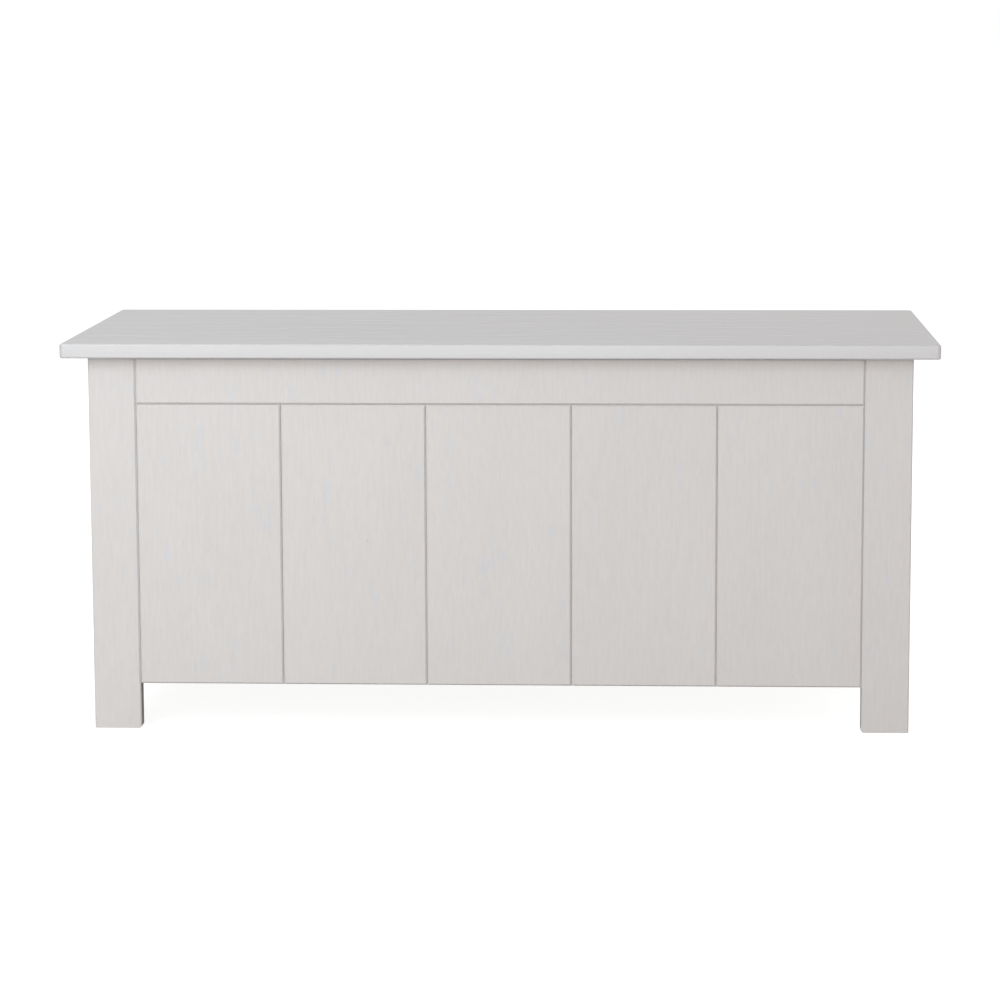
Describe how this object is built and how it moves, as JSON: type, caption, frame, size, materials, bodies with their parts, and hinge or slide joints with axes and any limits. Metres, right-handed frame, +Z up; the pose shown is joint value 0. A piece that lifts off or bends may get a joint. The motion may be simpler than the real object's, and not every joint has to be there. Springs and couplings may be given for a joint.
{
  "type": "wooden toy box",
  "caption": "Painted wooden toy box on short legs, with tongue-and-groove board walls and a flat lid that swings up on rear hinges held by gas stays.",
  "frame": {"origin": "middle of the overall footprint, on the floor", "axes": "+X to the right of someone facing the front, +Y towards the back, +Z up"},
  "size_m": [1.1, 0.5, 0.495],
  "materials": {
    "painted_pine": "pale warm grey paint over pine, satin, faint vertical grain",
    "painted_lid": "pale grey paint over pine, smooth satin",
    "bare_pine": "planed unpainted pine",
    "plywood": "sanded birch plywood",
    "zinc_steel": "zinc-plated pressed steel",
    "black_tube": "black semi-gloss paint",
    "chrome_rod": "hard chrome",
    "felt": "pale wool felt"
  },
  "bodies": {
    "box": {"front_left_stile": "painted_pine", "front_right_stile": "painted_pine", "front_top_rail": "painted_pine", "front_board_1": "painted_pine", "front_board_2": "painted_pine", "front_board_3": "painted_pine", "front_board_4": "painted_pine", "front_board_5": "painted_pine", "back_left_stile": "painted_pine", "back_right_stile": "painted_pine", "back_top_rail": "painted_pine", "back_board_1": "painted_pine", "back_board_2": "painted_pine", "back_board_3": "painted_pine", "back_board_4": "painted_pine", "back_board_5": "painted_pine", "left_side_front_stile": "painted_pine", "left_side_back_stile": "painted_pine", "left_top_rail": "painted_pine", "left_board_1": "painted_pine", "left_board_2": "painted_pine", "right_side_front_stile": "painted_pine", "right_side_back_stile": "painted_pine", "right_top_rail": "painted_pine", "right_board_1": "painted_pine", "right_board_2": "painted_pine", "front_batten": "bare_pine", "back_batten": "bare_pine", "left_batten": "bare_pine", "right_batten": "bare_pine", "centre_bearer": "bare_pine", "bottom_panel": "plywood", "front_left_pad": "felt", "front_right_pad": "felt", "left_side_pad": "felt", "right_side_pad": "felt", "left_hinge_body_leaf": "zinc_steel", "left_hinge_pin": "zinc_steel", "middle_hinge_body_leaf": "zinc_steel", "middle_hinge_pin": "zinc_steel", "right_hinge_body_leaf": "zinc_steel", "right_hinge_pin": "zinc_steel", "left_stay_body_bracket": "zinc_steel", "right_stay_body_bracket": "zinc_steel"},
    "lid": {"lid_panel": "painted_lid", "lid_left_cleat": "painted_lid", "lid_right_cleat": "painted_lid", "left_hinge_lid_leaf": "zinc_steel", "middle_hinge_lid_leaf": "zinc_steel", "right_hinge_lid_leaf": "zinc_steel", "left_stay_lid_bracket": "zinc_steel", "right_stay_lid_bracket": "zinc_steel"},
    "left_stay_cylinder": {"left_stay_cylinder": "black_tube"},
    "left_stay_rod": {"left_stay_rod": "chrome_rod"},
    "right_stay_cylinder": {"right_stay_cylinder": "black_tube"},
    "right_stay_rod": {"right_stay_rod": "chrome_rod"}
  },
  "joints": [
    {"name": "lid_hinge", "type": "hinge", "parent": "box", "child": "lid", "pos_m": [0, 0.247, 0.47625], "axis": [-1, 0, 0], "range_deg": [0, 80]},
    {"name": "left_stay_pivot", "type": "hinge", "parent": "box", "child": "left_stay_cylinder", "pos_m": [-0.486, 0.20913, 0.27987], "axis": [-1, 0, 0], "range_deg": [0, 40]},
    {"name": "left_stay_rod_pivot", "type": "hinge", "parent": "lid", "child": "left_stay_rod", "pos_m": [-0.486, 0.04751, 0.462], "axis": [-1, 0, 0], "range_deg": [-40, 0]},
    {"name": "right_stay_pivot", "type": "hinge", "parent": "box", "child": "right_stay_cylinder", "pos_m": [0.486, 0.20913, 0.27987], "axis": [-1, 0, 0], "range_deg": [0, 40]},
    {"name": "right_stay_rod_pivot", "type": "hinge", "parent": "lid", "child": "right_stay_rod", "pos_m": [0.486, 0.04751, 0.462], "axis": [-1, 0, 0], "range_deg": [-40, 0]}
  ],
  "couplings": [
    {"joint": "left_stay_pivot", "follows": "lid_hinge", "ratio": 0.5},
    {"joint": "left_stay_rod_pivot", "follows": "lid_hinge", "ratio": -0.5},
    {"joint": "right_stay_pivot", "follows": "lid_hinge", "ratio": 0.5},
    {"joint": "right_stay_rod_pivot", "follows": "lid_hinge", "ratio": -0.5}
  ]
}
